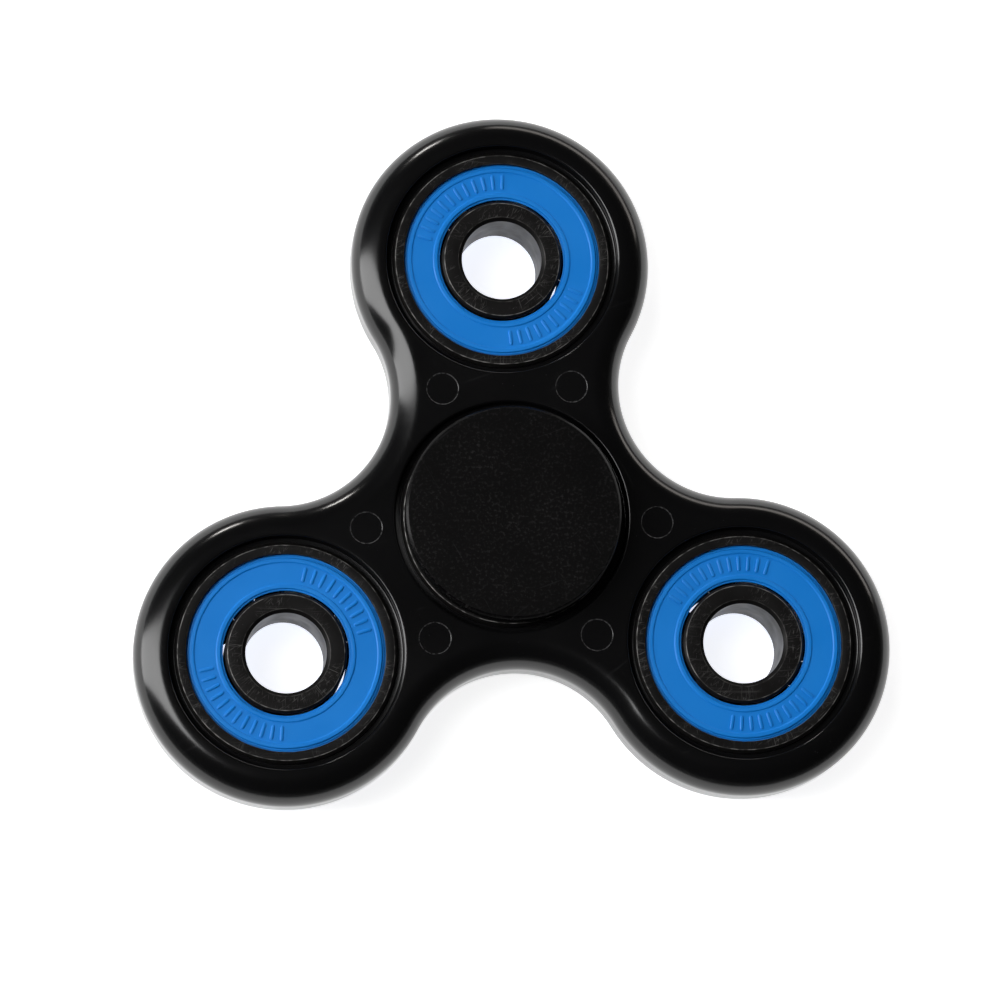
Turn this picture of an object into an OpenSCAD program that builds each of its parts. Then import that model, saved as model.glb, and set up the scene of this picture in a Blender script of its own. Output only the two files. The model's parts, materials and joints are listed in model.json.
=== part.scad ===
// Three-armed fidget spinner. A moulded frame turns on a central ball bearing, which is held between
// two finger caps, and a sealed ball bearing in the end of each arm is its weight.
// Millimetres. +Z is the spin axis, the bottom cap's flat face lies at z = 0, and arm 1 points along +Y.

/* [Frame] */
// Thickness of the frame
frame_t = 8; // [7:0.1:12]
// Frame material between the centre bearing and each arm's bearing
web_t = 4.2; // [3.4:0.1:8]
// Frame wall around the outside of each arm's bearing
rim_wall = 4; // [3:0.1:7]
// Frame wall between the centre bearing and the bottom of each finger notch
waist_wall = 4; // [3:0.1:7]
// Radius of the rounding along the frame's outer edges
edge_round = 2.8; // [0.8:0.1:3.2]
// Width of the open ring between each bearing and the frame's face
relief_gap = 0.6; // [0.3:0.05:0.9]
// Depth of that open ring, from the frame's face
relief_depth = 1.2; // [0.6:0.1:2]
// Chamfer along the edge of each bearing pocket
pocket_chamfer = 0.25; // [0.1:0.05:0.4]
// How much smaller than the bearing its pocket is, on the radius, so that it presses in
pocket_press = 0.01; // [0.005:0.005:0.03]
// Radius of the round marks that the ejector pins leave
ejector_r = 1.6; // [1:0.1:2]
// Depth of the ejector marks
ejector_depth = 0.06; // [0.04:0.02:0.2]
// Gap between an ejector mark and the edge of the centre bearing's pocket
ejector_gap = 1.05; // [0.5:0.05:1.4]
// Angle from an arm's centre line to its ejector marks
ejector_angle = 26.4; // [24:0.2:30]

/* [Bearings] */
// Outer diameter of each bearing
bearing_od = 22; // [20:0.5:28]
// Bore of each bearing
bearing_bore = 8; // [7:0.5:9]
// Width of each bearing
bearing_w = 7; // [6.8:0.1:10]
// Diameter of the balls
ball_d = 3.969; // [3.4:0.001:4.3]
// Number of balls in each bearing
ball_count = 7; // [5:1:7]
// Clearance between a ball and its race
race_clear = 0.03; // [0.01:0.005:0.06]
// How deep the ball race is cut into each ring
race_depth = 0.5; // [0.3:0.05:0.8]
// Chamfer on the outside corners of the outer ring
outer_chamfer = 0.3; // [0.1:0.05:0.5]
// Chamfer at the mouth of the bore
bore_chamfer = 0.35; // [0.1:0.05:0.5]
// Chamfer on the outside corners of the inner ring
inner_chamfer = 0.25; // [0.1:0.05:0.4]

/* [Ball cages] */
// Radial thickness of the cage
cage_wall = 1.5; // [1:0.1:1.8]
// Clearance between a ball and its pocket in the cage
pocket_clear = 0.05; // [0.02:0.01:0.08]
// Gap between the cage's back and the bearing's seal
cage_gap = 0.2; // [0.1:0.02:0.24]
// How far the cage's horns reach past the middle of the balls
horn_rise = 0.8; // [0.4:0.1:1.2]
// Width of the slot between the horns of neighbouring pockets
horn_slot = 1.1; // [0.6:0.1:1.4]

/* [Seals] */
// Thickness of a seal
seal_t = 0.65; // [0.6:0.01:0.75]
// How far the seal's face lies below the face of the bearing
seal_drop = 0.25; // [0.1:0.05:0.4]
// Gap between the seal's lip and the inner ring
lip_gap = 0.2; // [0.1:0.02:0.3]
// Width of the ledge that a seal rests on in the outer ring
seal_ledge = 0.85; // [0.7:0.05:0.95]
// Gap that shows between the seal's edge and the outer ring
seal_gap = 0.15; // [0.08:0.01:0.2]
// How far the seal's bead stands out beyond its edge, under the outer ring's lip
bead_reach = 0.3; // [0.22:0.02:0.36]
// Height of the bead
bead_h = 0.33; // [0.26:0.01:0.36]
// Clearance round the bead
bead_clear = 0.03; // [0.01:0.01:0.05]
// Height of the seal's two raised rims above its flat band
rim_h = 0.1; // [0.04:0.02:0.14]
// Width of each raised rim
rim_w = 0.35; // [0.2:0.05:0.5]
// Width of the step along each edge of the seal
step_w = 0.25; // [0.1:0.05:0.3]
// Height of that step
step_h = 0.18; // [0.1:0.02:0.24]
// Thickness of the steel stiffener under the rubber
stiffener_t = 0.25; // [0.2:0.01:0.3]
// Rubber left beyond the stiffener along each edge of the seal
stiffener_inset = 0.5; // [0.4:0.05:0.8]

/* [Finger caps] */
// Diameter of a finger cap
cap_d = 21.4; // [16:0.1:30]
// Thickness of the cap's disc
cap_t = 2; // [1:0.1:4]
// Gap between the cap's disc and the spinning face below it
cap_gap = 0.4; // [0.3:0.05:1.5]
// Chamfer along the cap's outer edges
cap_chamfer = 0.25; // [0.1:0.05:0.45]
// Length of the plug that presses into the bearing's bore
plug_len = 2.9; // [1.5:0.1:3.3]
// How much larger than the bore the plug is, on the radius
plug_press = 0.01; // [0.005:0.005:0.02]
// Chamfer at the tip of the plug
plug_chamfer = 0.4; // [0.1:0.05:0.8]
// How far the cap's shoulder stays inside the edge of the inner ring's face
shoulder_inset = 0.3; // [0.1:0.05:0.6]

/* [Hidden] */
$fn = 96;
arm_count = 3;
arms = [1 : arm_count];
arm_step = 360 / arm_count;
first_arm_angle = 90;

bearing_r = bearing_od / 2;
bore_r = bearing_bore / 2;
bearing_half = bearing_w / 2;
frame_half = frame_t / 2;
face_half = max(frame_half, bearing_half);
mid_z = face_half + cap_gap + cap_t;

arm_reach = bearing_od + web_t;
lobe_r = bearing_r + rim_wall;
waist_r = bearing_r + waist_wall;
// The notch's arc touches the waist and is tangent to the round ends of both arms beside it
notch_r = (pow(arm_reach, 2) + pow(waist_r, 2) - arm_reach * waist_r - pow(lobe_r, 2))
    / (2 * lobe_r - 2 * waist_r + arm_reach);
notch_reach = waist_r + notch_r;
half_step = arm_step / 2;
lobe_sweep = atan2(notch_reach * sin(half_step), notch_reach * cos(half_step) - arm_reach);
notch_sweep = 180 - atan2(arm_reach * sin(half_step), arm_reach * cos(half_step) - notch_reach);
flank_t = frame_t - 2 * edge_round;
relief_r = bearing_r + relief_gap;
ejector_reach = relief_r + pocket_chamfer + ejector_gap + ejector_r;

ball_r = ball_d / 2;
pitch_r = (bore_r + bearing_r) / 2;
race_r = ball_r + race_clear;
inner_land_r = pitch_r - ball_r + race_depth;
outer_land_r = pitch_r + ball_r - race_depth;

seal_top = bearing_half - seal_drop;
seal_under = seal_top - seal_t;
seal_in_r = inner_land_r + lip_gap;
recess_r = outer_land_r + seal_ledge;
seal_out_r = recess_r - seal_gap;
bead_r = seal_out_r + bead_reach;
stiffener_in_r = seal_in_r + stiffener_inset;
stiffener_out_r = seal_out_r - stiffener_inset;

cage_back = seal_under - cage_gap;
pocket_r = ball_r + pocket_clear;

shoulder_r = inner_land_r - inner_chamfer - shoulder_inset;
overlap = 1;
// Flats along the round end of an arm, along a notch, and across the rounding of an edge
lobe_facets = 24;
notch_facets = 12;
edge_facets = 4;
// Width of the edge band's flat part, whose outer half overlaps nothing and inner half the plate
band_w = 0.6;

function arm_angle(i) = first_arm_angle + (i - 1) * arm_step;
function polar(radius, angle) = [radius * cos(angle), radius * sin(angle)];

// Places its children at the middle height of the spinner, on the spin axis
module at_centre() {
    translate([0, 0, mid_z]) children();
}

// Places its children at the middle of arm i's bearing
module at_arm(i) {
    translate([each polar(arm_reach, arm_angle(i)), mid_z]) children();
}

// The frame's outline moved inwards by inset: the round end of each arm and the notch after it, in turn
function outline(inset) = [for (i = arms) each concat(
    [for (k = [0 : lobe_facets - 1])
        polar(arm_reach, arm_angle(i))
        + polar(lobe_r - inset, arm_angle(i) + lobe_sweep * (2 * k / lobe_facets - 1))],
    [for (k = [0 : notch_facets - 1])
        polar(notch_reach, arm_angle(i) + half_step)
        + polar(notch_r + inset, arm_angle(i) + half_step + 180 + notch_sweep * (1 - 2 * k / notch_facets))]
)];

// How far the edge's rounding has moved inwards, and the height that it has reached, at its k-th step
function edge_inset(k) = edge_round * (1 - cos(90 * k / edge_facets));
function edge_height(k) = flank_t / 2 + edge_round * sin(90 * k / edge_facets);

// The frame's rounded edge as a closed band: outlines stacked up its outside and joined round its inside
module edge_band() {
    steps = concat(
        [for (k = [edge_facets : -1 : 0]) [edge_inset(k), -edge_height(k)]],
        [for (k = [0 : edge_facets]) [edge_inset(k), edge_height(k)]],
        [for (side = [1, -1]) [edge_round + band_w, side * frame_half]]
    );
    around = arm_count * (lobe_facets + notch_facets);
    points = [for (step = steps, p = outline(step[0])) [p[0], p[1], step[1]]];
    faces = [for (s = [0 : len(steps) - 1], k = [0 : around - 1])
        let (next_s = (s + 1) % len(steps), next_k = (k + 1) % around)
        [s * around + k, next_s * around + k, next_s * around + next_k, s * around + next_k]];
    polyhedron(points, faces, convexity = 6);
}

// The frame before its pockets are cut: a flat plate inside its rounded edge
module frame_blank() {
    edge_band();
    linear_extrude(height = frame_t, center = true) polygon(outline(edge_round + band_w / 2));
}

// A bearing's pocket: a straight seat through the frame, with an open ring and a chamfer at each face
module bearing_pocket() {
    cylinder(h = frame_t + overlap, r = bearing_r - pocket_press, center = true);
    for (side = [0, 1]) mirror([0, 0, side]) rotate_extrude() polygon([
        [0, frame_half - relief_depth],
        [relief_r, frame_half - relief_depth],
        [relief_r, frame_half - pocket_chamfer],
        [relief_r + pocket_chamfer + overlap, frame_half + overlap],
        [0, frame_half + overlap]
    ]);
}

// Shallow round marks on the upper face, two beside the root of each arm
module ejector_marks() {
    for (i = arms, side = [-1, 1])
        translate(polar(ejector_reach, arm_angle(i) + side * ejector_angle))
            translate([0, 0, frame_half - ejector_depth]) cylinder(h = overlap, r = ejector_r);
}

module frame() {
    color("#141416") at_centre() difference() {
        frame_blank();
        bearing_pocket();
        for (i = arms) translate(polar(arm_reach, arm_angle(i))) bearing_pocket();
        ejector_marks();
    }
}

// A finger cap whose disc is above the bearing and whose plug points down, measured from mid height
module finger_cap() {
    disc_under = face_half + cap_gap;
    disc_top = disc_under + cap_t;
    cap_r = cap_d / 2;
    plug_r = bore_r + plug_press;
    plug_tip = bearing_half - plug_len;
    rotate_extrude() polygon([
        [0, plug_tip],
        [plug_r - plug_chamfer, plug_tip],
        [plug_r, plug_tip + plug_chamfer],
        [plug_r, bearing_half],
        [shoulder_r, bearing_half],
        [shoulder_r, disc_under],
        [cap_r - cap_chamfer, disc_under],
        [cap_r, disc_under + cap_chamfer],
        [cap_r, disc_top - cap_chamfer],
        [cap_r - cap_chamfer, disc_top],
        [0, disc_top]
    ]);
}

module top_cap() {
    color("#18181a") at_centre() finger_cap();
}

module bottom_cap() {
    color("#18181a") at_centre() mirror([0, 0, 1]) finger_cap();
}

// Both halves of a section that is the same above and below z = 0, from the points above it
function both_halves(points) = concat(
    points,
    [for (k = [len(points) - 1 : -1 : 0]) [points[k][0], -points[k][1]]]
);

// Turns a ring's section about its axis and cuts the ball race into it
module raced_ring(points) {
    rotate_extrude() difference() {
        polygon(both_halves(points));
        translate([pitch_r, 0]) circle(r = race_r);
    }
}

module outer_ring() {
    color("#2b2b2d") raced_ring([
        [outer_land_r, seal_under],
        [bead_r + bead_clear, seal_under],
        [bead_r + bead_clear, seal_under + bead_h + bead_clear],
        [recess_r, seal_under + bead_h + bead_clear],
        [recess_r, bearing_half],
        [bearing_r - outer_chamfer, bearing_half],
        [bearing_r, bearing_half - outer_chamfer]
    ]);
}

module inner_ring() {
    color("#2b2b2d") raced_ring([
        [bore_r, bearing_half - bore_chamfer],
        [bore_r + bore_chamfer, bearing_half],
        [inner_land_r - inner_chamfer, bearing_half],
        [inner_land_r, bearing_half - inner_chamfer]
    ]);
}

module balls() {
    color("#b9bbbe") for (k = [1 : ball_count])
        translate(polar(pitch_r, k * 360 / ball_count)) sphere(r = ball_r);
}

// A snap-in crown cage: a ring with a round pocket for each ball, open towards the horns
module cage() {
    pocket_step = 360 / ball_count;
    color("#d8d2c0") difference() {
        rotate_extrude() translate([pitch_r - cage_wall / 2, -cage_back])
            square([cage_wall, cage_back + horn_rise]);
        for (k = [1 : ball_count]) {
            translate(polar(pitch_r, k * pocket_step)) sphere(r = pocket_r);
            rotate([0, 0, (k + 0.5) * pocket_step]) translate([pitch_r, 0, horn_rise])
                cube([cage_wall + overlap, horn_slot, 2 * horn_rise], center = true);
        }
    }
}

// A seal's rubber, face up, measured from mid height
module seal() {
    rotate_extrude() polygon([
        [seal_in_r, seal_under + stiffener_t],
        [seal_in_r, seal_top - step_h],
        [seal_in_r + step_w - step_h / 2, seal_top - step_h],
        [seal_in_r + step_w, seal_top],
        [seal_in_r + step_w + rim_w, seal_top],
        [seal_in_r + step_w + rim_w + rim_h, seal_top - rim_h],
        [seal_out_r - step_w - rim_w - rim_h, seal_top - rim_h],
        [seal_out_r - step_w - rim_w, seal_top],
        [seal_out_r - step_w, seal_top],
        [seal_out_r - step_w + step_h / 2, seal_top - step_h],
        [seal_out_r, seal_top - step_h],
        [seal_out_r, seal_under + bead_h],
        [bead_r, seal_under + bead_h],
        [bead_r, seal_under],
        [stiffener_out_r, seal_under],
        [stiffener_out_r, seal_under + stiffener_t]
    ]);
}

// The flat steel washer that backs the rubber
module stiffener() {
    translate([0, 0, seal_under]) rotate_extrude()
        translate([stiffener_in_r, 0]) square([stiffener_out_r - stiffener_in_r, stiffener_t]);
}

module top_seal() {
    color("#2381d9") seal();
}

module bottom_seal() {
    color("#2381d9") mirror([0, 0, 1]) seal();
}

module top_stiffener() {
    color("#9c9ea2") stiffener();
}

module bottom_stiffener() {
    color("#9c9ea2") mirror([0, 0, 1]) stiffener();
}

frame();
top_cap();
bottom_cap();
at_centre() outer_ring();  // centre_outer_ring
at_centre() inner_ring();  // centre_inner_ring
at_centre() cage();  // centre_cage
at_centre() balls();  // centre_balls
for (i = arms) {
    at_arm(i) outer_ring();
    at_arm(i) inner_ring();
    at_arm(i) cage();
    at_arm(i) balls();
    at_arm(i) top_seal();
    at_arm(i) bottom_seal();
    at_arm(i) top_stiffener();
    at_arm(i) bottom_stiffener();
}
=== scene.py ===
import json
import math

import bmesh
import bpy
from mathutils import Matrix, Vector


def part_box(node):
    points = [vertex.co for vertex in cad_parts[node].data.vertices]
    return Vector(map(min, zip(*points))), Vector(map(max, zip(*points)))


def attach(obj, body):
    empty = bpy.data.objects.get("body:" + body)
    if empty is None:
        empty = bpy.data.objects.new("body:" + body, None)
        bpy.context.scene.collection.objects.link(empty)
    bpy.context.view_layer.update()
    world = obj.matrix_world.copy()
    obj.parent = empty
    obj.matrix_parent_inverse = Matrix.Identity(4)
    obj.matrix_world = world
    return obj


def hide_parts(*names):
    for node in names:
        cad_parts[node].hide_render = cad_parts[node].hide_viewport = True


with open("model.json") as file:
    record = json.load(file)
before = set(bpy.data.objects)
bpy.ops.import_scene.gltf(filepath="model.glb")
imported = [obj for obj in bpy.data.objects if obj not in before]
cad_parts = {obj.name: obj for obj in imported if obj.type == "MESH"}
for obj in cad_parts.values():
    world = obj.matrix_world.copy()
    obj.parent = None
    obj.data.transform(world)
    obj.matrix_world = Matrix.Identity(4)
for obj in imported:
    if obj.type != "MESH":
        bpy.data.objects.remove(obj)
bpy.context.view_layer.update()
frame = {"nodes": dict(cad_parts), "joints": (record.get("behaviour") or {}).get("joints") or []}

# --- The frame ---
# One moulding in glossy black plastic, with a bearing pocket in the middle and in the end of each arm.
# Its edge is rounded all the way round, the mould's parting line runs along the flank, and the ejector
# pins have left six faint rings on its upper face.

MM = 0.001

arm_axes = [Vector(joint["pos_m"]) for joint in frame["joints"] if joint["name"].endswith("_inner_spin")]
mid_z = arm_axes[0].z
hub_axis = Vector((0, 0, mid_z))
arm_reach = arm_axes[0].xy.length
frame_low, frame_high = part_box("frame")
frame_half = (frame_high.z - frame_low.z) / 2
ring_low, ring_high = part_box("arm_1_outer_ring")
bearing_r = (ring_high.x - ring_low.x) / 2
bearing_half = (ring_high.z - ring_low.z) / 2

lobe_r = frame_high.x - max(axis.x for axis in arm_axes)
waist_wall = 4 * MM
waist_r = bearing_r + waist_wall
notch_r = ((arm_reach**2 + waist_r**2 - arm_reach * waist_r - lobe_r**2)
           / (2 * lobe_r - 2 * waist_r + arm_reach))
edge_round = 2.8 * MM
pocket_press = 0.01 * MM
relief_gap = 0.6 * MM
relief_depth = 1.2 * MM
mouth_round = 0.2 * MM
floor_round = 0.15 * MM
mark_r = 1.6 * MM
mark_depth = 0.045 * MM
mark_slope = 0.05 * MM
mark_reach = 14.5 * MM
mark_angle = math.radians(26.4)
# Flat strip kept beside each rounding, so that the large faces stay flat to the eye
margin = 0.15 * MM


def arc(centre, radius, start, end, steps):
    """Points along an arc, from start to end in degrees."""
    angles = [math.radians(start + (end - start) * k / steps) for k in range(steps + 1)]
    return [(centre[0] + radius * math.cos(a), centre[1] + radius * math.sin(a)) for a in angles]


def link(name, mesh):
    piece = bpy.data.objects.new(name, mesh)
    bpy.context.collection.objects.link(piece)
    return piece


def wire(name, points, closed=False):
    """An object made of edges only: the path or the section of a sweep."""
    edges = [(k, k + 1) for k in range(len(points) - 1)]
    if closed:
        edges.append((len(points) - 1, 0))
    mesh = bpy.data.meshes.new(name)
    mesh.from_pydata([(x, y, 0) for x, y in points], edges, [])
    return link(name, mesh)


def section(name, points, closed=False):
    """A sweep's section, whose points are (distance out from the path, height)."""
    return wire(name, [(out, -height) for out, height in points], closed)


def add(tree, kind, links=None, **settings):
    """A node with its inputs linked or set by name or number, and its own settings."""
    node = tree.nodes.new(kind)
    for key, value in settings.items():
        setattr(node, key, value)
    for key, value in (links or {}).items():
        if isinstance(value, bpy.types.NodeSocket):
            tree.links.new(value, node.inputs[key])
        else:
            node.inputs[key].default_value = value
    return node


def calc(tree, operation, *values):
    """The result of a Math node, in a geometry or a shader tree."""
    return add(tree, "ShaderNodeMath", dict(enumerate(values)), operation=operation).outputs[0]


def new_group(name, kind, inputs, outputs):
    """A node group with named sockets, and its group input and output."""
    tree = bpy.data.node_groups.new(name, kind)
    for label, socket_kind, *default in inputs:
        socket = tree.interface.new_socket(name=label, in_out="INPUT", socket_type="NodeSocket" + socket_kind)
        if default:
            socket.default_value = default[0]
    for label, socket_kind in outputs:
        tree.interface.new_socket(name=label, in_out="OUTPUT", socket_type="NodeSocket" + socket_kind)
    return tree, tree.nodes.new("NodeGroupInput").outputs, tree.nodes.new("NodeGroupOutput").inputs


def join(tree, parts):
    node = tree.nodes.new("GeometryNodeJoinGeometry")
    for part in parts:
        tree.links.new(part, node.inputs[0])
    return node.outputs[0]


def sweep(tree, path, shape_object):
    """The edges of an object swept along a path curve."""
    shape = add(tree, "GeometryNodeObjectInfo", {"Object": shape_object}).outputs["Geometry"]
    edges = add(tree, "GeometryNodeMeshToCurve", {"Mesh": shape}).outputs[0]
    return add(tree, "GeometryNodeCurveToMesh", {"Curve": path, "Profile Curve": edges}).outputs[0]


def place_on(tree, points, item):
    """A copy of item on each point."""
    return add(tree, "GeometryNodeInstanceOnPoints", {"Points": points, "Instance": item}).outputs[0]


def finish_tree(tree, shape, material, result):
    """The end of each tree: copies made real, near points joined, material set."""
    real = add(tree, "GeometryNodeRealizeInstances", {"Geometry": shape}).outputs[0]
    whole = add(tree, "GeometryNodeMergeByDistance", {"Geometry": real, "Distance": 0.0005 * MM}).outputs[0]
    coated = add(tree, "GeometryNodeSetMaterial", {"Geometry": whole, "Material": material}).outputs[0]
    tree.links.new(coated, result[0])


def grow(base, tree, values):
    """Runs a tree on a base object and returns a plain mesh. The base is removed."""
    modifier = base.modifiers.new("made", "NODES")
    modifier.node_group = tree
    for socket in tree.interface.items_tree:
        if socket.in_out == "INPUT" and socket.name in values:
            modifier[socket.identifier] = values[socket.name]
    bpy.context.view_layer.update()
    mesh = bpy.data.meshes.new_from_object(base.evaluated_get(bpy.context.evaluated_depsgraph_get()))
    bpy.data.objects.remove(base)
    return mesh


def shape_up(name, mesh):
    """A piece from a mesh: poles and seams closed, faces outwards, round parts smooth and flat ones flat."""
    sharpest_smooth = math.radians(38)
    shape = bmesh.new()
    shape.from_mesh(mesh)
    bmesh.ops.remove_doubles(shape, verts=shape.verts, dist=0.0004 * MM)
    bmesh.ops.dissolve_degenerate(shape, edges=shape.edges, dist=0.0002 * MM)
    bmesh.ops.recalc_face_normals(shape, faces=shape.faces)
    shape.to_mesh(mesh)
    shape.free()
    mesh.shade_smooth()
    mesh.set_sharp_from_angle(angle=sharpest_smooth)
    piece = link(name, mesh)
    weighted = piece.modifiers.new("flat faces", "WEIGHTED_NORMAL")
    weighted.keep_sharp = True
    weighted.weight = 90
    bpy.context.view_layer.update()
    piece.data = bpy.data.meshes.new_from_object(piece.evaluated_get(bpy.context.evaluated_depsgraph_get()))
    piece.modifiers.clear()
    return piece


def declare(piece, body, node):
    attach(piece, body)
    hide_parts(node)


def new_material(name):
    material = bpy.data.materials.new(name)
    material.use_nodes = True
    return material, material.node_tree, material.node_tree.nodes["Principled BSDF"]


def spread(tree, value, low, high, out_low=0.0, out_high=1.0):
    """The value carried from one range to another, and held at its ends."""
    return add(tree, "ShaderNodeMapRange", {"Value": value, "From Min": low, "From Max": high,
                                            "To Min": out_low, "To Max": out_high}).outputs[0]


def noise(tree, place, scale, detail=2.0, roughness=0.5, distortion=0.0):
    return add(tree, "ShaderNodeTexNoise", {"Vector": place, "Scale": scale, "Detail": detail,
                                            "Roughness": roughness, "Distortion": distortion}).outputs[0]


def blend_colour(tree, mask, low, high):
    node = add(tree, "ShaderNodeMix", {0: mask}, data_type="RGBA")
    for number, colour in ((6, low), (7, high)):
        if isinstance(colour, bpy.types.NodeSocket):
            tree.links.new(colour, node.inputs[number])
        else:
            node.inputs[number].default_value = (*colour, 1)
    return node.outputs[2]


def bump(tree, height, distance, strength=1.0, under=None):
    node = add(tree, "ShaderNodeBump", {"Strength": strength, "Distance": distance, "Height": height})
    if under is not None:
        tree.links.new(under, node.inputs["Normal"])
    return node.outputs[0]


# Fine dust and hairline scratches, which lie on all the spinner's surfaces but the nylon
dust, given, result = new_group(
    "dust and hairlines", "ShaderNodeTree",
    [("Place", "Vector"), ("Speck size", "Float", 0.00022), ("Specks", "Float", 0.5),
     ("Hairlines", "Float", 0.5)],
    [("Specks", "Float"), ("Hairlines", "Float")])
cells = add(dust, "ShaderNodeTexVoronoi", {"Vector": given["Place"],
                                           "Scale": calc(dust, "DIVIDE", 1.0, given["Speck size"])}).outputs
spot = spread(dust, cells["Distance"], 0.06, 0.2, 1.0, 0.0)
few = spread(dust, add(dust, "ShaderNodeSeparateColor", {"Color": cells["Color"]}).outputs[0], 0.9, 1.0)
patches = spread(dust, noise(dust, given["Place"], 160.0, 3.0), 0.42, 0.68)
specks = calc(dust, "MULTIPLY", calc(dust, "MULTIPLY", spot, few), patches)
dust.links.new(calc(dust, "MULTIPLY", specks, given["Specks"]), result["Specks"])
hairlines = None
for turn, width in ((0.5, 0.03), (-0.9, 0.045), (1.9, 0.035)):
    turned = add(dust, "ShaderNodeMapping", {"Vector": given["Place"], "Rotation": (0, 0, turn),
                                             "Scale": (width, 1.0, 1.0)}, vector_type="TEXTURE").outputs[0]
    line = spread(dust, noise(dust, turned, 190.0, 1.0, distortion=0.5), 0.745, 0.81)
    hairlines = line if hairlines is None else calc(dust, "MAXIMUM", hairlines, line)
dust.links.new(calc(dust, "MULTIPLY", hairlines, given["Hairlines"]), result["Hairlines"])


def dusty(tree, place, speck_size, specks, hairlines):
    node = add(tree, "ShaderNodeGroup", node_tree=dust)
    for key, value in (("Speck size", speck_size), ("Specks", specks), ("Hairlines", hairlines)):
        node.inputs[key].default_value = value
    tree.links.new(place, node.inputs["Place"])
    return node.outputs["Specks"], node.outputs["Hairlines"]


frame_plastic, tree, surface = new_material("glossy black plastic")
place = add(tree, "ShaderNodeTexCoord").outputs["Object"]
specks, hairlines = dusty(tree, place, 0.22 * MM, 0.5, 0.5)
waves = noise(tree, place, 75.0, 1.5, 0.4)
peel = noise(tree, place, 1400.0)
smear = noise(tree, place, 110.0, 4.0)
height = add(tree, "ShaderNodeSeparateXYZ", {"Vector": place}).outputs["Z"]
from_middle = calc(tree, "ABSOLUTE", calc(tree, "SUBTRACT", height, mid_z))
parting = spread(tree, from_middle, 0.02 * MM, 0.06 * MM, 1.0, 0.0)
# Painted highlight: the small step round each ejector mark is painted a lighter grey, unevenly
step_highlight = add(tree, "ShaderNodeAttribute", attribute_type="GEOMETRY", attribute_name="step_highlight").outputs["Fac"]
uneven = spread(tree, noise(tree, place, 2600.0, 3.0), 0.38, 0.62, 0.1, 0.55)
step_highlight = calc(tree, "MULTIPLY", step_highlight, uneven)
# The marks painted lighter: dust specks, hairlines, and the painted highlight on the ejector marks' steps
marks = calc(tree, "MAXIMUM", specks, calc(tree, "MULTIPLY", hairlines, 0.13))
marks = calc(tree, "MAXIMUM", marks, step_highlight)
tree.links.new(blend_colour(tree, marks, (0.0040, 0.0040, 0.0043), (0.11, 0.11, 0.112)),
               surface.inputs["Base Color"])
rough = spread(tree, smear, 0.3, 0.7, 0.14, 0.20)
tree.links.new(calc(tree, "ADD", rough, calc(tree, "MULTIPLY", marks, 0.35)), surface.inputs["Roughness"])
relief = bump(tree, waves, 0.016 * MM, 0.5)
relief = bump(tree, peel, 0.0012 * MM, 0.6, relief)
relief = bump(tree, parting, 0.03 * MM, 0.8, relief)
relief = bump(tree, hairlines, 0.004 * MM, 0.5, relief)
tree.links.new(relief, surface.inputs["Normal"])

# The outline: the round end of each arm, then the notch after it
lobe_steps, notch_steps, edge_steps = 144, 72, 14
outline = []
half_step = 180 / len(arm_axes)
notch_reach = waist_r + notch_r
for axis in arm_axes:
    heading = math.degrees(math.atan2(axis.y, axis.x))
    notch = arc((0, 0), notch_reach, heading + half_step, 0, 1)[0]
    lean = (math.degrees(math.atan2(notch[1] - axis.y, notch[0] - axis.x)) - heading) % 360
    outline += arc(axis, lobe_r, heading - lean, heading + lean, lobe_steps)[:-1]
    back = heading + half_step + 180
    outline += arc(notch, notch_r, back + lean - half_step, back - lean + half_step, notch_steps)[:-1]

# The edge's section, from the upper face round the flank to the lower one
flank = frame_half - edge_round
edge_points = ([(-edge_round - margin, frame_half)] + arc((-edge_round, flank), edge_round, 90, 0, edge_steps)
               + arc((-edge_round, -flank), edge_round, 0, -90, edge_steps)
               + [(-edge_round - margin, -frame_half)])
# A pocket's section: rounded mouth, open ring, straight seat for the bearing, and the same below
relief_r = bearing_r + relief_gap
pocket_r = relief_r + mouth_round + margin
relief_floor = frame_half - relief_depth
wall = relief_r - pocket_r
mouth = ([(0, frame_half)] + arc((wall + mouth_round, frame_half - mouth_round), mouth_round, 90, 180, 4)
         + arc((wall - floor_round, relief_floor + floor_round), floor_round, 0, -90, 3)
         + [(bearing_r - pocket_press - pocket_r, relief_floor)])
pocket_points = mouth + [(out, -height) for out, height in reversed(mouth)]
# An ejector mark's section: a small step down to its flat floor
mark_face_r = mark_r + margin
mark_floor = frame_half - mark_depth
mark_section = [(0, frame_half), (-margin + mark_slope, frame_half), (-margin, frame_half),
                (-margin - mark_slope, mark_floor), (-margin - 2 * mark_slope, mark_floor),
                (-mark_face_r, mark_floor)]

tree, given, result = new_group(
    "moulded frame", "GeometryNodeTree",
    [("Outline", "Geometry"), ("Edge section", "Object"), ("Pocket section", "Object"),
     ("Mark section", "Object"), ("Pocket radius", "Float"), ("Arms", "Int"), ("Arm reach", "Float"),
     ("Mark radius", "Float"),
     ("Mark reach", "Float"), ("Mark angle", "Float"), ("Face height", "Float"), ("Middle", "Float"),
     ("Plastic", "Material")],
    [("Frame", "Geometry")])
path = add(tree, "GeometryNodeMeshToCurve", {"Mesh": given["Outline"]}).outputs[0]
band = sweep(tree, path, given["Edge section"])
circle = add(tree, "GeometryNodeCurvePrimitiveCircle", {"Resolution": 180, "Radius": given["Pocket radius"]})
pocket = sweep(tree, circle.outputs[0], given["Pocket section"])
arm_points = add(tree, "GeometryNodeMeshCircle", {"Vertices": given["Arms"], "Radius": given["Arm reach"]})
arm_points = add(tree, "GeometryNodeTransform", {"Geometry": arm_points.outputs[0],
                                                 "Rotation": (0, 0, math.pi / 2)}).outputs[0]
hub_point = add(tree, "GeometryNodeMeshLine", {"Count": 1}).outputs[0]
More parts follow.
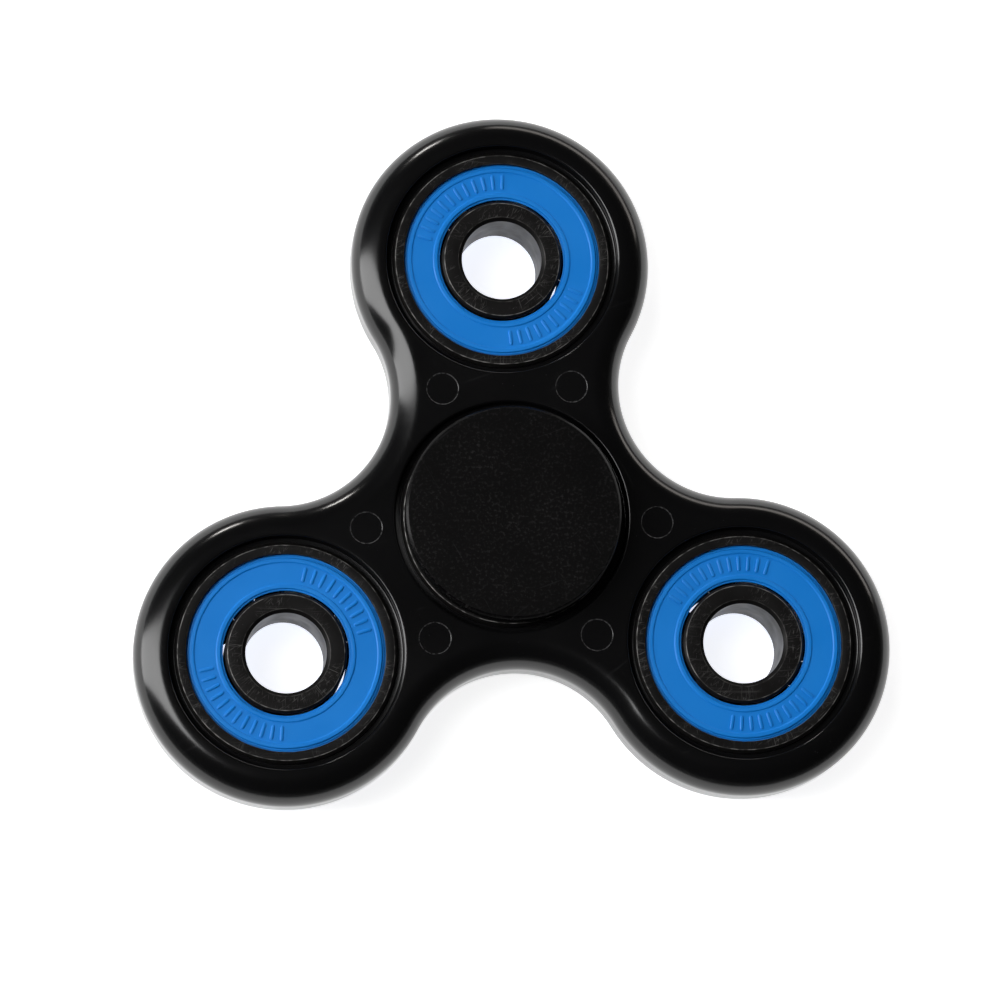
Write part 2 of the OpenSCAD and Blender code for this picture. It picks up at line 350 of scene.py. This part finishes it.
pockets = place_on(tree, join(tree, [arm_points, hub_point]), pocket)
circle = add(tree, "GeometryNodeCurvePrimitiveCircle", {"Resolution": 64, "Radius": given["Mark radius"]})
mark = sweep(tree, circle.outputs[0], given["Mark section"])
# The points on the small step itself are noted, so that the plastic's material can paint a highlight there
from_pin = add(tree, "ShaderNodeVectorMath", {0: add(tree, "GeometryNodeInputPosition").outputs[0],
                                              1: (1, 1, 0)}, operation="MULTIPLY").outputs[0]
from_pin = add(tree, "ShaderNodeVectorMath", {0: from_pin}, operation="LENGTH").outputs["Value"]
step_middle = calc(tree, "SUBTRACT", given["Mark radius"], margin + mark_slope / 2)
off_step = calc(tree, "ABSOLUTE", calc(tree, "SUBTRACT", from_pin, step_middle))
# This mask marks where the painted step highlight goes
noted = add(tree, "GeometryNodeStoreNamedAttribute", data_type="FLOAT", domain="POINT")
noted.inputs["Name"].default_value = "step_highlight"
tree.links.new(mark, noted.inputs["Geometry"])
tree.links.new(calc(tree, "LESS_THAN", off_step, 0.8 * mark_slope), noted.inputs["Value"])
mark = noted.outputs[0]
mark_points = []
for side in (1, -1):
    ring = add(tree, "GeometryNodeMeshCircle", {"Vertices": given["Arms"], "Radius": given["Mark reach"]})
    turn = calc(tree, "MULTIPLY_ADD", given["Mark angle"], side, math.pi / 2)
    turn = add(tree, "ShaderNodeCombineXYZ", {"Z": turn}).outputs[0]
    placed = add(tree, "GeometryNodeTransform", {"Geometry": ring.outputs[0], "Rotation": turn})
    mark_points.append(placed.outputs[0])
mark_rings = place_on(tree, join(tree, mark_points), mark)
walls = join(tree, [band, pockets, mark_rings])
walls = add(tree, "GeometryNodeRealizeInstances", {"Geometry": walls}).outputs[0]
walls = add(tree, "GeometryNodeMergeByDistance", {"Geometry": walls, "Distance": 0.0005 * MM}).outputs[0]
# Each face fills the open edges of the walls on its side
neighbours = add(tree, "GeometryNodeInputMeshEdgeNeighbors").outputs[0]
is_open = add(tree, "FunctionNodeCompare", {2: neighbours, 3: 1}, data_type="INT", operation="EQUAL").outputs[0]
position = add(tree, "GeometryNodeInputPosition").outputs[0]
level = add(tree, "ShaderNodeSeparateXYZ", {"Vector": position}).outputs["Z"]
faces = []
for side in (1, -1):
    this_side = calc(tree, "GREATER_THAN", calc(tree, "MULTIPLY", level, side), 0)
    chosen = add(tree, "FunctionNodeBooleanMath", {0: is_open, 1: this_side}, operation="AND").outputs[0]
    rim = add(tree, "GeometryNodeMeshToCurve", {"Mesh": walls, "Selection": chosen}).outputs[0]
    flat = add(tree, "GeometryNodeFillCurve", {"Curve": rim}).outputs[0]
    face_level = calc(tree, "MULTIPLY", given["Face height"], side)
    rise = add(tree, "ShaderNodeCombineXYZ", {"Z": face_level}).outputs[0]
    faces.append(add(tree, "GeometryNodeTransform", {"Geometry": flat, "Translation": rise}).outputs[0])
lift = add(tree, "ShaderNodeCombineXYZ", {"Z": given["Middle"]}).outputs[0]
lifted = add(tree, "GeometryNodeTransform", {"Geometry": join(tree, [walls] + faces), "Translation": lift})
finish_tree(tree, lifted.outputs[0], given["Plastic"], result)

sections = {"Edge section": section("edge section", edge_points),
            "Pocket section": section("pocket section", pocket_points),
            "Mark section": section("mark section", mark_section)}
mesh = grow(wire("outline", outline, closed=True), tree, {
    **sections, "Pocket radius": pocket_r, "Arms": len(arm_axes), "Arm reach": arm_reach,
    "Mark radius": mark_face_r, "Mark reach": mark_reach, "Mark angle": mark_angle,
    "Face height": frame_half, "Middle": mid_z, "Plastic": frame_plastic})
for shape in sections.values():
    bpy.data.objects.remove(shape)
declare(shape_up("moulded_frame", mesh), "spinner", "frame")

# --- The outer rings ---
# Four through-hardened steel rings, blackened and then ground on their faces, pressed into the pockets.
# Their corners are chamfered, and their fine edges are painted bright, partly as wear and partly as a painted
# highlight. A groove near each face holds the seal.

bore_r = 4 * MM
pitch_r = (bore_r + bearing_r) / 2
ball_r = 3.969 / 2 * MM
race_r = ball_r + 0.03 * MM
race_depth = 0.5 * MM
outer_land_r = pitch_r + ball_r - race_depth
inner_land_r = pitch_r - ball_r + race_depth
seal_top = bearing_half - 0.25 * MM
seal_under = seal_top - 0.65 * MM
recess_r = outer_land_r + 0.85 * MM
seal_out_r = recess_r - 0.15 * MM
bead_r = seal_out_r + 0.3 * MM
bead_h = 0.33 * MM
groove_clear = 0.03 * MM
outer_chamfer = 0.3 * MM
bore_chamfer = 0.35 * MM
inner_chamfer = 0.25 * MM
corner_round = 0.06 * MM


def rounded(points, steps=3):
    """A closed section, whose points are (radius, height) or (radius, height, rounding of that corner)."""
    shape = []
    for k, (radius, height, *rounding) in enumerate(points):
        corner = Vector((radius, height))
        if not rounding:
            shape.append(tuple(corner))
            continue
        before = (Vector(points[k - 1][:2]) - corner).normalized()
        after = (Vector(points[(k + 1) % len(points)][:2]) - corner).normalized()
        half = before.angle(after) / 2
        centre = corner + (before + after).normalized() * rounding[0] / math.sin(half)
        reach = rounding[0] / math.tan(half)
        start, end = corner + before * reach - centre, corner + after * reach - centre
        turns = [start.slerp(end, j / steps).normalized() for j in range(steps + 1)]
        shape += [tuple(centre + turn * rounding[0]) for turn in turns]
    return shape


def mirrored(points):
    """The same points below mid height, in the order that carries a section on."""
    return [(radius, -height, *rounding) for radius, height, *rounding in reversed(points)]


turning, given, result = new_group(
    "turned piece", "GeometryNodeTree",
    [("Section", "Geometry"), ("Radius", "Float"), ("Steps", "Int"), ("Place", "Vector"),
     ("Finish", "Material")],
    [("Piece", "Geometry")])
circle = add(turning, "GeometryNodeCurvePrimitiveCircle",
             {"Resolution": given["Steps"], "Radius": given["Radius"]})
edges = add(turning, "GeometryNodeMeshToCurve", {"Mesh": given["Section"]}).outputs[0]
skin = add(turning, "GeometryNodeCurveToMesh", {"Curve": circle.outputs[0], "Profile Curve": edges}).outputs[0]
# Each point keeps its place from the piece's own axis and mid height, for the materials of turned pieces
noted = add(turning, "GeometryNodeStoreNamedAttribute", data_type="FLOAT_VECTOR", domain="POINT")
noted.inputs["Name"].default_value = "from_axis"
turning.links.new(skin, noted.inputs["Geometry"])
turning.links.new(add(turning, "GeometryNodeInputPosition").outputs[0], noted.inputs["Value"])
moved = add(turning, "GeometryNodeTransform", {"Geometry": noted.outputs[0], "Translation": given["Place"]})
finish_tree(turning, moved.outputs[0], given["Finish"], result)


def turned_mesh(points, axis, material, steps=128, closed=True):
    """A section of (radius, height) turned about an axis, height measured from the axis's point."""
    return grow(section("section", [(radius - pitch_r, height) for radius, height in points], closed), turning,
                {"Radius": pitch_r, "Steps": steps, "Place": tuple(axis), "Finish": material})


def from_axis(tree):
    """A turned piece's flat place from its axis, its distance from it, and its height from mid height."""
    own = add(tree, "ShaderNodeAttribute", attribute_type="GEOMETRY", attribute_name="from_axis")
    axes = add(tree, "ShaderNodeSeparateXYZ", {"Vector": own.outputs["Vector"]}).outputs
    flat = add(tree, "ShaderNodeCombineXYZ", {"X": axes["X"], "Y": axes["Y"]}).outputs[0]
    radius = add(tree, "ShaderNodeVectorMath", {0: flat}, operation="LENGTH").outputs["Value"]
    return flat, radius, calc(tree, "ABSOLUTE", axes["Z"])


ring_steel, tree, surface = new_material("blackened ring steel")
place = add(tree, "ShaderNodeTexCoord").outputs["Object"]
flat_place, radius, height = from_axis(tree)
# The grinding wheel's lines run in wide arcs that cross each other, and differ from ring to ring
drift = add(tree, "ShaderNodeVectorMath", {0: place, 3: 0.12}, operation="SCALE").outputs[0]
lines = None
for wheel, stretch in (((0.034, -0.006, 0), 1.0), ((-0.02, 0.031, 0), 0.8), ((0.006, 0.05, 0), 1.15)):
    away = add(tree, "ShaderNodeVectorMath", {0: flat_place, 1: wheel}, operation="DISTANCE").outputs["Value"]
    across = add(tree, "ShaderNodeCombineXYZ", {"X": calc(tree, "MULTIPLY", away, stretch)}).outputs[0]
    along = add(tree, "ShaderNodeVectorMath", {0: drift, 1: across}, operation="ADD").outputs[0]
    line = noise(tree, along, 10000.0, 1.5)
    lines = line if lines is None else calc(tree, "MAXIMUM", lines, line)
# Handling has left short marks across the faces as well, pointing away from the axis
axes = add(tree, "ShaderNodeSeparateXYZ", {"Vector": flat_place}).outputs
round_way = calc(tree, "MULTIPLY", calc(tree, "ARCTAN2", axes["Y"], axes["X"]), pitch_r)
outwards = calc(tree, "MULTIPLY", radius, 0.15)
across = add(tree, "ShaderNodeCombineXYZ", {"X": round_way, "Y": outwards}).outputs[0]
across = add(tree, "ShaderNodeVectorMath", {0: drift, 1: across}, operation="ADD").outputs[0]
lines = calc(tree, "MAXIMUM", lines, noise(tree, across, 8000.0, 1.5))
patches = spread(tree, noise(tree, place, 260.0, 2.0), 0.42, 0.62)
on_face = spread(tree, height, bearing_half - 0.02 * MM, bearing_half - 0.005 * MM)
scored = calc(tree, "MULTIPLY", spread(tree, lines, 0.62, 0.75), calc(tree, "MULTIPLY", patches, on_face))
specks = dusty(tree, place, 0.16 * MM, 0.6, 0.4)[0]
# Bright lines painted along the chamfered edges: partly wear on the blackening, partly a painted highlight that
# runs all round
worn_and_highlight = None
for edge_radius, wear_and_highlight in ((bearing_r - outer_chamfer, 0.45), (recess_r, 0.12),
                          (inner_land_r - inner_chamfer, 0.4), (bore_r + bore_chamfer, 0.12)):
    sideways = calc(tree, "ABSOLUTE", calc(tree, "SUBTRACT", radius, edge_radius))
    down = calc(tree, "ABSOLUTE", calc(tree, "SUBTRACT", height, bearing_half))
    near = spread(tree, calc(tree, "ADD", sideways, down), 0.02 * MM, 0.07 * MM, wear_and_highlight, 0.0)
    worn_and_highlight = near if worn_and_highlight is None else calc(tree, "MAXIMUM", worn_and_highlight, near)
worn_and_highlight = calc(tree, "MULTIPLY", worn_and_highlight, spread(tree, noise(tree, place, 1100.0, 3.0), 0.42, 0.62, 0.15, 1.0))
bright = calc(tree, "MAXIMUM", calc(tree, "MULTIPLY", scored, 0.14), worn_and_highlight)
bright = calc(tree, "MAXIMUM", bright, calc(tree, "MULTIPLY", specks, 0.5))
tree.links.new(blend_colour(tree, bright, (0.007, 0.0066, 0.0066), (0.62, 0.61, 0.59)),
               surface.inputs["Base Color"])
surface.inputs["Metallic"].default_value = 0.25
surface.inputs["Specular IOR Level"].default_value = 0.2
tree.links.new(spread(tree, noise(tree, place, 500.0, 4.0), 0.3, 0.7, 0.36, 0.5), surface.inputs["Roughness"])
relief = bump(tree, lines, 0.006 * MM, 0.7)
relief = bump(tree, noise(tree, place, 3500.0), 0.002 * MM, 0.5, relief)
tree.links.new(relief, surface.inputs["Normal"])

race_half_angle = math.degrees(math.acos((outer_land_r - pitch_r) / race_r))
upper = [(outer_land_r, seal_under), (bead_r + groove_clear, seal_under),
         (bead_r + groove_clear, seal_under + bead_h + groove_clear),
         (recess_r, seal_under + bead_h + groove_clear), (recess_r, bearing_half, corner_round),
         (bearing_r - outer_chamfer, bearing_half, corner_round),
         (bearing_r, bearing_half - outer_chamfer, corner_round)]
race_steps = 16
race = arc((pitch_r, 0), race_r, -race_half_angle, race_half_angle, race_steps)
outer_section = rounded(upper + mirrored(upper) + race)
bearings = {"centre": hub_axis, **{f"arm_{k + 1}": axis for k, axis in enumerate(arm_axes)}}
for name, axis in bearings.items():
    mesh = turned_mesh(outer_section, axis, ring_steel)
    declare(shape_up(f"{name}_ground_outer_ring", mesh), "spinner", f"{name}_outer_ring")

# --- The balls and their cages ---
# Seven polished chrome-steel balls roll between the rings of each bearing. A crown of moulded nylon, which
# snaps over them, keeps them apart.

ball_count = 7

ball_steel, tree, surface = new_material("polished ball steel")
place = add(tree, "ShaderNodeTexCoord").outputs["Object"]
specks, hairlines = dusty(tree, place, 0.2 * MM, 0.3, 0.6)
scuffs = calc(tree, "MAXIMUM", specks, hairlines)
tree.links.new(blend_colour(tree, scuffs, (0.62, 0.62, 0.63), (0.3, 0.29, 0.27)),
               surface.inputs["Base Color"])
surface.inputs["Metallic"].default_value = 1.0
tree.links.new(spread(tree, noise(tree, place, 600.0, 3.0), 0.3, 0.7, 0.06, 0.14), surface.inputs["Roughness"])
tree.links.new(bump(tree, hairlines, 0.001 * MM, 0.5), surface.inputs["Normal"])

balls, given, result = new_group(
    "ring of balls", "GeometryNodeTree",
    [("Start", "Geometry"), ("Count", "Int"), ("Pitch radius", "Float"), ("Ball radius", "Float"),
     ("Place", "Vector"), ("Finish", "Material")],
    [("Balls", "Geometry")])
spots = add(balls, "GeometryNodeMeshCircle", {"Vertices": given["Count"], "Radius": given["Pitch radius"]})
ball = add(balls, "GeometryNodeMeshUVSphere", {"Segments": 32, "Rings": 16, "Radius": given["Ball radius"]})
moved = add(balls, "GeometryNodeTransform", {"Geometry": place_on(balls, spots.outputs[0], ball.outputs[0]),
                                             "Translation": given["Place"]})
finish_tree(balls, moved.outputs[0], given["Finish"], result)

cage_nylon, tree, surface = new_material("natural nylon")
place = add(tree, "ShaderNodeTexCoord").outputs["Object"]
cloud = noise(tree, place, 300.0, 3.0)
tree.links.new(blend_colour(tree, cloud, (0.60, 0.55, 0.44), (0.74, 0.70, 0.60)), surface.inputs["Base Color"])
tree.links.new(spread(tree, cloud, 0.3, 0.7, 0.38, 0.52), surface.inputs["Roughness"])
surface.inputs["Subsurface Weight"].default_value = 0.15
surface.inputs["Subsurface Scale"].default_value = 1 * MM
tree.links.new(bump(tree, noise(tree, place, 2500.0), 0.004 * MM, 0.5), surface.inputs["Normal"])


def coat(node, material):
    """Gives a CAD node its finished material."""
    for slot in frame["nodes"][node].material_slots:
        slot.material = material


for name, axis in bearings.items():
    mesh = grow(wire("start", [(0, 0)]), balls, {
        "Count": ball_count, "Pitch radius": pitch_r, "Ball radius": ball_r, "Place": tuple(axis),
        "Finish": ball_steel})
    declare(shape_up(f"{name}_polished_balls", mesh), f"{name}_ball_set", f"{name}_balls")
    coat(f"{name}_cage", cage_nylon)

# --- The inner rings ---
# The same blackened steel as the outer rings. The centre one is gripped by the caps' plugs, and those of the
# arms are left open, with a chamfered 8 mm bore.

upper = [(bore_r, bearing_half - bore_chamfer, corner_round),
         (bore_r + bore_chamfer, bearing_half, corner_round),
         (inner_land_r - inner_chamfer, bearing_half, corner_round),
         (inner_land_r, bearing_half - inner_chamfer, corner_round)]
race = arc((pitch_r, 0), race_r, 180 - race_half_angle, 180 + race_half_angle, race_steps)
inner_section = rounded(upper + race + mirrored(upper))
for name, axis in bearings.items():
    mesh = turned_mesh(inner_section, axis, ring_steel, steps=112)
    body = "hub" if name == "centre" else f"{name}_inner"
    declare(shape_up(f"{name}_ground_inner_ring", mesh), body, f"{name}_inner_ring")

# --- The seals ---
# A blue rubber seal is moulded onto a steel washer and snapped by its bead into the outer ring's groove, on
# each side of an arm's bearing. Its face has a raised rim along both edges, and two rows of raised dashes.

lip_gap = 0.2 * MM
seal_in_r = inner_land_r + lip_gap
step_w, step_h = 0.25 * MM, 0.18 * MM
rim_w, rim_h = 0.35 * MM, 0.1 * MM
washer_t = 0.25 * MM
washer_inset = 0.5 * MM
rim_round = 0.05 * MM
seal_face = seal_top - rim_h
dash_length, dash_width, dash_height = 1.5 * MM, 0.34 * MM, 0.1 * MM
dash_reach = 8.0 * MM
dash_step = math.radians(6.8)
# Where the middles of the two rows of dashes lie on each bearing's seals, in degrees
row_angles = {"arm_1": (125, 305), "arm_2": (228, 45), "arm_3": (108, 290)}

seal_section = rounded([
    (seal_in_r, seal_under + washer_t), (seal_in_r, seal_top - step_h, rim_round),
    (seal_in_r + step_w - step_h / 2, seal_top - step_h), (seal_in_r + step_w, seal_top, rim_round),
    (seal_in_r + step_w + rim_w, seal_top, rim_round),
    (seal_in_r + step_w + rim_w + rim_h, seal_face, rim_round),
    (seal_out_r - step_w - rim_w - rim_h, seal_face, rim_round),
    (seal_out_r - step_w - rim_w, seal_top, rim_round),
    (seal_out_r - step_w, seal_top, rim_round), (seal_out_r - step_w + step_h / 2, seal_top - step_h),
    (seal_out_r, seal_top - step_h, rim_round), (seal_out_r, seal_under + bead_h),
    (bead_r, seal_under + bead_h), (bead_r, seal_under), (seal_out_r - washer_inset, seal_under),
    (seal_out_r - washer_inset, seal_under + washer_t)])

seal_rubber, tree, surface = new_material("blue seal rubber")
place = add(tree, "ShaderNodeTexCoord").outputs["Object"]
specks = dusty(tree, place, 0.14 * MM, 0.5, 0.15)[0]
cloud = noise(tree, place, 240.0, 3.0)
blue = blend_colour(tree, cloud, (0.004, 0.212, 0.72), (0.007, 0.248, 0.79))
tree.links.new(blend_colour(tree, specks, blue, (0.25, 0.5, 0.85)), surface.inputs["Base Color"])
surface.inputs["Specular IOR Level"].default_value = 0.3
tree.links.new(spread(tree, cloud, 0.3, 0.7, 0.38, 0.48), surface.inputs["Roughness"])
relief = bump(tree, noise(tree, place, 2600.0), 0.003 * MM, 0.6)
relief = bump(tree, noise(tree, place, 350.0, 1.0), 0.02 * MM, 0.4, relief)
tree.links.new(relief, surface.inputs["Normal"])

washer_steel, tree, surface = new_material("pressed washer steel")
place = add(tree, "ShaderNodeTexCoord").outputs["Object"]
specks, hairlines = dusty(tree, place, 0.2 * MM, 0.4, 0.7)
scuffs = calc(tree, "MAXIMUM", specks, hairlines)
tree.links.new(blend_colour(tree, scuffs, (0.33, 0.33, 0.34), (0.16, 0.15, 0.14)),
               surface.inputs["Base Color"])
surface.inputs["Metallic"].default_value = 1.0
tree.links.new(spread(tree, noise(tree, place, 700.0, 4.0), 0.3, 0.7, 0.28, 0.42), surface.inputs["Roughness"])
tree.links.new(bump(tree, hairlines, 0.002 * MM, 0.5), surface.inputs["Normal"])


def one_dash(side):
    """A bar with round ends and a softened top, along X; side says which way up it stands."""
    half = dash_length / 2 - dash_width / 2
    levels = [(0, -dash_height), (0, 0.5 * dash_height), (0.12 * dash_width, 0.87 * dash_height),
              (0.3 * dash_width, dash_height)]
    rings = [arc((half, 0), dash_width / 2 - inset, -90, 90, 4)
             + arc((-half, 0), dash_width / 2 - inset, 90, 270, 4) for inset, level in levels]
    corners = [(x, y, level * side) for ring, (inset, level) in zip(rings, levels) for x, y in ring]
    around = len(rings[0])
    quads = [(row + k, row + (k + 1) % around, row + around + (k + 1) % around, row + around + k)
             for row in range(0, len(corners) - around, around) for k in range(around)]
    ends = [tuple(range(around)), tuple(range(len(corners) - around, len(corners)))]
    mesh = bpy.data.meshes.new("dash")
    mesh.from_pydata(corners, [], quads + ends)
    return link("dash", mesh)


dashes, given, result = new_group(
    "rows of dashes", "GeometryNodeTree",
    [("Dash", "Geometry"), ("Seal", "Object"), ("Reach", "Float"), ("Height", "Float"), ("Place", "Vector"),
     ("First row", "Float"), ("Second row", "Float"), ("First count", "Int"), ("Second count", "Int"),
     ("Step", "Float"), ("Finish", "Material")],
    [("Piece", "Geometry")])
rows = []
for row in ("First", "Second"):
    line = add(dashes, "GeometryNodeMeshLine", {"Count": given[f"{row} count"]}).outputs[0]
    number = add(dashes, "GeometryNodeInputIndex").outputs[0]
    middle = calc(dashes, "MULTIPLY", calc(dashes, "SUBTRACT", given[f"{row} count"], 1), 0.5)
    from_middle = calc(dashes, "SUBTRACT", number, middle)
    turn = calc(dashes, "MULTIPLY_ADD", from_middle, given["Step"], given[f"{row} row"])
    spot = add(dashes, "ShaderNodeCombineXYZ", {
        "X": calc(dashes, "MULTIPLY", calc(dashes, "COSINE", turn), given["Reach"]),
        "Y": calc(dashes, "MULTIPLY", calc(dashes, "SINE", turn), given["Reach"]),
        "Z": given["Height"]}).outputs[0]
    spots = add(dashes, "GeometryNodeSetPosition", {"Geometry": line, "Position": spot}).outputs[0]
    turned = add(dashes, "ShaderNodeCombineXYZ", {"Z": turn}).outputs[0]
    rows.append(add(dashes, "GeometryNodeInstanceOnPoints",
                    {"Points": spots, "Instance": given["Dash"], "Rotation": turned}).outputs[0])
moved = add(dashes, "GeometryNodeTransform", {"Geometry": join(dashes, rows), "Translation": given["Place"]})
seal_shape = add(dashes, "GeometryNodeObjectInfo", {"Object": given["Seal"]}).outputs["Geometry"]
finish_tree(dashes, join(dashes, [moved.outputs[0], seal_shape]), given["Finish"], result)

for name, angles in row_angles.items():
    for side, label in ((1, "top"), (-1, "bottom")):
        points = [(radius, height * side) for radius, height in seal_section]
        seal = link("seal", turned_mesh(points, bearings[name], seal_rubber))
        mesh = grow(one_dash(side), dashes, {
            "Seal": seal, "Reach": dash_reach, "Height": seal_face * side, "Place": tuple(bearings[name]),
            "First row": math.radians(angles[0]), "Second row": math.radians(angles[1]),
            "First count": 12, "Second count": 10, "Step": dash_step, "Finish": seal_rubber})
        bpy.data.objects.remove(seal)
        declare(shape_up(f"{name}_{label}_rubber_seal", mesh), "spinner", f"{name}_{label}_seal")
        coat(f"{name}_{label}_stiffener", washer_steel)

# --- The finger caps ---
# Two round caps in black plastic, each moulded with a plug that is pressed into the bore of the centre
# bearing. The mould's spark-eroded face makes them matt, and the plastic has sunk a little over the plug.

cap_low, cap_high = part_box("top_cap")
cap_r = (cap_high.x - cap_low.x) / 2
cap_top = cap_high.z - mid_z
cap_under = frame_half + 0.4 * MM
cap_chamfer = 0.25 * MM
plug_r = bore_r - 0.005 * MM
plug_tip = cap_low.z - mid_z
plug_chamfer = 0.4 * MM
shoulder_r = inner_land_r - inner_chamfer - 0.3 * MM
sink_r, sink_depth = 5.2 * MM, 0.035 * MM

sink = [(sink_r * part, cap_top - sink_depth * (1 + math.cos(math.pi * part)) / 2)
        for part in (1, 0.85, 0.7, 0.55, 0.4, 0.25, 0)]
cap_section = rounded([
    (0, plug_tip), (plug_r - plug_chamfer, plug_tip, corner_round),
    (plug_r, plug_tip + plug_chamfer, corner_round), (plug_r, bearing_half),
    (shoulder_r, bearing_half), (shoulder_r, cap_under),
    (cap_r - cap_chamfer, cap_under, corner_round), (cap_r, cap_under + cap_chamfer, corner_round),
    (cap_r, cap_top - cap_chamfer, corner_round), (cap_r - cap_chamfer, cap_top, corner_round)] + sink)

cap_plastic, tree, surface = new_material("matt black plastic")
place = add(tree, "ShaderNodeTexCoord").outputs["Object"]
radius = from_axis(tree)[1]
specks, hairlines = dusty(tree, place, 0.2 * MM, 0.6, 0.6)
grain = noise(tree, place, 3200.0, 3.0, 0.6)
pits = add(tree, "ShaderNodeTexVoronoi", {"Vector": place, "Scale": 3800.0}).outputs["Distance"]
cloud = noise(tree, place, 180.0, 4.0)
sparkle = calc(tree, "MULTIPLY", spread(tree, grain, 0.52, 0.70), spread(tree, cloud, 0.35, 0.65, 0.25, 1.0))
rim_start = cap_r - cap_chamfer
polished = spread(tree, radius, rim_start - 0.03 * MM, rim_start + 0.02 * MM)
marks = calc(tree, "MAXIMUM", specks, calc(tree, "MULTIPLY", hairlines, 0.12))
grey = blend_colour(tree, sparkle, (0.0008, 0.0007, 0.0008), (0.0200, 0.0193, 0.0193))
tree.links.new(blend_colour(tree, marks, grey, (0.10, 0.10, 0.105)), surface.inputs["Base Color"])
surface.inputs["Specular IOR Level"].default_value = 0.12
rough = spread(tree, cloud, 0.3, 0.7, 0.40, 0.48)
tree.links.new(calc(tree, "SUBTRACT", rough, calc(tree, "MULTIPLY", polished, 0.22)),
               surface.inputs["Roughness"])
dull = calc(tree, "SUBTRACT", 1.0, calc(tree, "MULTIPLY", polished, 0.8))
relief = bump(tree, calc(tree, "MULTIPLY", grain, dull), 0.02 * MM, 0.6)
relief = bump(tree, calc(tree, "MULTIPLY", pits, dull), 0.006 * MM, 0.5, relief)
tree.links.new(relief, surface.inputs["Normal"])

for name, side in (("top_cap", 1), ("bottom_cap", -1)):
    points = [(radius, height * side) for radius, height in cap_section]
    mesh = turned_mesh(points, hub_axis, cap_plastic, steps=144, closed=False)
    declare(shape_up(f"{name}_moulding", mesh), "hub", name)

# --- The table, the lights and the camera ---
# A white glowing table, a tall soft box on the left, a low weak one and a small lamp at the back, and dim
# walls under a dark ceiling, as in a small product studio. The camera looks down, a little off the axis.

table_mesh = bpy.data.meshes.new("table")
table_r = 3.0
table_mesh.from_pydata([(x, y, 0) for x, y in arc((0, 0), table_r, 0, 360, 64)[:-1]], [], [tuple(range(64))])
table = link("table", table_mesh)
table_white, tree, surface = new_material("white table")
place = add(tree, "ShaderNodeTexCoord").outputs["Object"]
tree.links.new(blend_colour(tree, noise(tree, place, 2.0), (0.80, 0.80, 0.80), (0.82, 0.82, 0.82)),
               surface.inputs["Base Color"])
surface.inputs["Roughness"].default_value = 0.9
surface.inputs["Specular IOR Level"].default_value = 0.1
surface.inputs["Emission Color"].default_value = (1, 1, 1, 1)
surface.inputs["Emission Strength"].default_value = 0.86
table.data.materials.append(table_white)

target = Vector((-0.724 * MM, 2.359 * MM, mid_z))


def soft_box(name, direction, distance, width, height, watts, colour=(1, 1, 1)):
    """An upright area light that faces the spinner from a direction."""
    light = bpy.data.lights.new(name, "AREA")
    light.shape = "RECTANGLE"
    light.size, light.size_y = width, height
    light.energy = watts
    light.color = colour
    lamp = link(name, light)
    towards = Vector(direction).normalized()
    lamp.location = target + towards * distance
    lamp.rotation_euler = towards.to_track_quat("Z", "Y").to_euler()


soft_box("left soft box", (-0.76, 0.08, 0.63), distance=0.9, width=0.40, height=1.45, watts=11.5)
soft_box("back soft box", (0.55, 0.78, 0.30), distance=1.0, width=1.2, height=0.18, watts=2.2,
         colour=(1, 0.94, 0.88))
soft_box("small back lamp", (-0.306, 0.879, 0.366), distance=1.0, width=0.16, height=0.08, watts=1.1,
         colour=(1, 0.97, 0.93))

world = bpy.data.worlds.new("studio")
world.use_nodes = True
bpy.context.scene.world = world
tree = world.node_tree
tree.nodes.clear()
heading = add(tree, "ShaderNodeTexCoord").outputs["Generated"]
rise = add(tree, "ShaderNodeSeparateXYZ", {"Vector": heading}).outputs["Z"]
glow = spread(tree, rise, 0.05, 0.35, 0.22, 0.008)
back = add(tree, "ShaderNodeBackground", {"Color": (1, 1, 1, 1), "Strength": glow})
tree.links.new(back.outputs[0], add(tree, "ShaderNodeOutputWorld").inputs[0])

tilt, turn, roll = math.radians(11.76), math.radians(-118.9), math.radians(-2.04)
away = Vector((math.sin(tilt) * math.cos(turn), math.sin(tilt) * math.sin(turn), math.cos(tilt)))
right = Vector((-math.sin(roll), math.cos(roll), 0)).cross(away).normalized()
up = away.cross(right)
camera = link("camera", bpy.data.cameras.new("camera"))
camera.data.sensor_width = 36
camera.data.lens = 173.24
camera.data.clip_start, camera.data.clip_end = 0.02, 10
camera_distance = 480.8 * MM
turned = Matrix((right, up, away)).transposed().to_4x4()
camera.matrix_world = Matrix.Translation(target + away * camera_distance) @ turned
bpy.context.scene.camera = camera
bpy.context.scene.view_settings.view_transform = "Standard"
